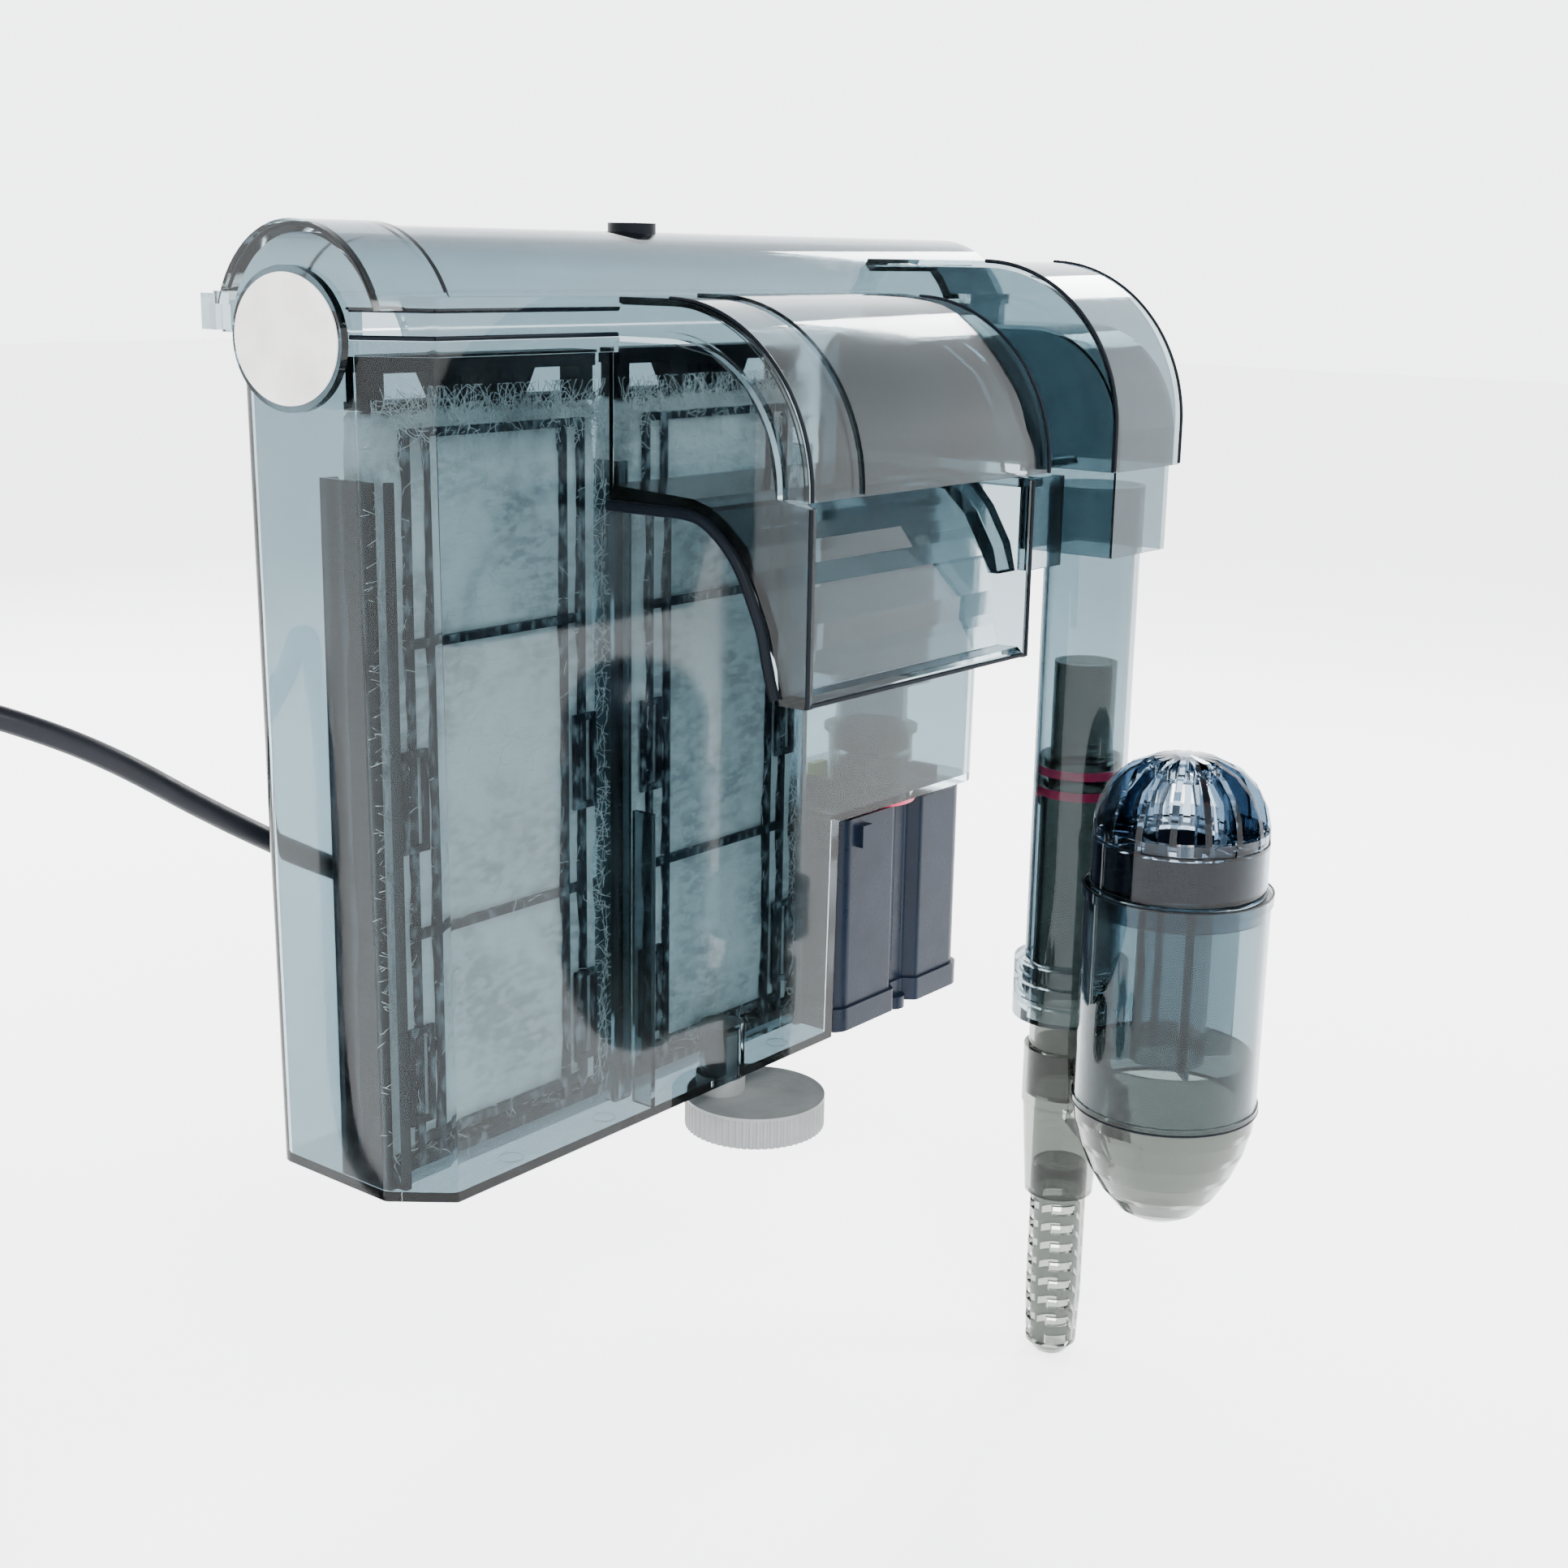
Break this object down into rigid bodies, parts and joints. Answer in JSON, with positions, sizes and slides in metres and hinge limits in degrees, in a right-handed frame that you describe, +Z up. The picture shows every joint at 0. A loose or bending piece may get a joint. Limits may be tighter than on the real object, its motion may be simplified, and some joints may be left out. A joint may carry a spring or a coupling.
{
  "type": "hang on back aquarium filter",
  "caption": "Clear hang on back aquarium filter with a lift-off lid, waterfall spout, filter cartridges, a motor under the box, a telescopic intake and a surface skimmer.",
  "frame": {"origin": "middle of the underside of the spout's bridge, the face that rests on the tank's rim", "axes": "+X along the tank wall towards the pump, +Y away from the tank, +Z up"},
  "size_m": [0.4435, 0.2778, 0.3437],
  "materials": {
    "clear_blue": "clear polished",
    "clear_grey": "clear polished",
    "smoke_plastic": "polished",
    "black_plastic": "satin",
    "fuzzed_plastic": "satin, with floss caught on it",
    "label": "matt",
    "floss": "fibrous",
    "slate_plastic": "satin",
    "steel": "laminated",
    "copper": "enamelled",
    "red_silicone": "matt",
    "black_rubber": "matt",
    "ceramic": "polished",
    "magnet": "ground",
    "white_plastic": "satin",
    "lime_plastic": "satin",
    "dark_foam": "matt",
    "grey_plastic": "satin",
    "cord_black": "matt",
    "plated_brass": "plated"
  },
  "bodies": {
    "root": {"filter_box": "clear_blue", "waterfall_spout": "clear_blue", "left_guide": "smoke_plastic", "cartridge_guides": "clear_blue", "motor_housing": "slate_plastic", "motor_cap": "slate_plastic", "stator_core": "steel", "stator_coil": "copper", "motor_gasket": "red_silicone", "impeller_shaft": "ceramic", "lower_bush": "black_rubber", "bayonet_rails": "smoke_plastic", "lock_tab": "lime_plastic", "intake_duct": "clear_blue", "intake_tube": "clear_blue", "intake_clip": "clear_blue", "strain_relief": "black_rubber", "mains_lead": "cord_black", "cord_coil": "cord_black", "cord_tail": "cord_black", "cord_tie": "black_plastic", "plug_body": "cord_black", "plug_pins": "plated_brass"},
    "lid": {"lid": "clear_blue", "lid_knob": "black_plastic", "badge_disc": "clear_blue", "badge_label": "label"},
    "cartridge_1": {"cartridge_frame_1": "fuzzed_plastic", "floss_pad_1": "floss", "cartridge_handle_1": "black_plastic"},
    "cartridge_2": {"cartridge_frame_2": "fuzzed_plastic", "floss_pad_2": "floss", "cartridge_handle_2": "black_plastic"},
    "rotor": {"rotor_magnet": "magnet", "impeller": "white_plastic"},
    "pump_cover": {"impeller_cover": "clear_grey", "upper_bush": "black_rubber"},
    "telescope": {"telescopic_tube": "clear_grey", "lower_o_ring": "red_silicone", "upper_o_ring": "red_silicone"},
    "skimmer": {"skimmer_base": "clear_grey", "skimmer_body": "clear_blue"},
    "skimmer_head": {"skimmer_cap": "clear_blue", "skimmer_float": "dark_foam", "skimmer_column": "clear_blue"},
    "strainer": {"strainer": "clear_grey"},
    "disc": {"leveling_disc": "grey_plastic"}
  },
  "joints": [
    {"name": "lid_lift", "type": "slide", "parent": "root", "child": "lid", "axis": [0, 0, 1], "range_m": [0, 0.26]},
    {"name": "cartridge_1_lift", "type": "slide", "parent": "root", "child": "cartridge_1", "axis": [0, 0, 1], "range_m": [0, 0.21]},
    {"name": "cartridge_2_lift", "type": "slide", "parent": "root", "child": "cartridge_2", "axis": [0, 0, 1], "range_m": [0, 0.21]},
    {"name": "impeller_spin", "type": "hinge", "parent": "root", "child": "rotor", "pos_m": [0.0858, 0.0312, -0.134], "axis": [0, 0, 1], "continuous": true},
    {"name": "cover_twist", "type": "hinge", "parent": "root", "child": "pump_cover", "pos_m": [0.0858, 0.0312, -0.094], "axis": [0, 0, 1], "range_deg": [0, 40]},
    {"name": "telescope_slide", "type": "slide", "parent": "root", "child": "telescope", "axis": [0, 0, 1], "range_m": [-0.03, 0.01]},
    {"name": "skimmer_swivel", "type": "hinge", "parent": "telescope", "child": "skimmer", "pos_m": [0.0858, -0.0469, -0.174], "axis": [0, 0, 1], "range_deg": [-60, 60]},
    {"name": "skimmer_head_slide", "type": "slide", "parent": "skimmer", "child": "skimmer_head", "axis": [0, 0, 1], "range_m": [-0.02, 0.004]},
    {"name": "strainer_pull", "type": "slide", "parent": "skimmer", "child": "strainer", "axis": [0, 0, -1], "range_m": [0, 0.03]},
    {"name": "disc_turn", "type": "hinge", "parent": "root", "child": "disc", "pos_m": [0.0016, 0.0212, -0.174], "axis": [0, 0, 1], "continuous": true}
  ],
  "couplings": [
    {"joint": "cartridge_1_lift", "follows": "lid_lift", "ratio": 0.8},
    {"joint": "cartridge_2_lift", "follows": "lid_lift", "ratio": 0.8}
  ]
}
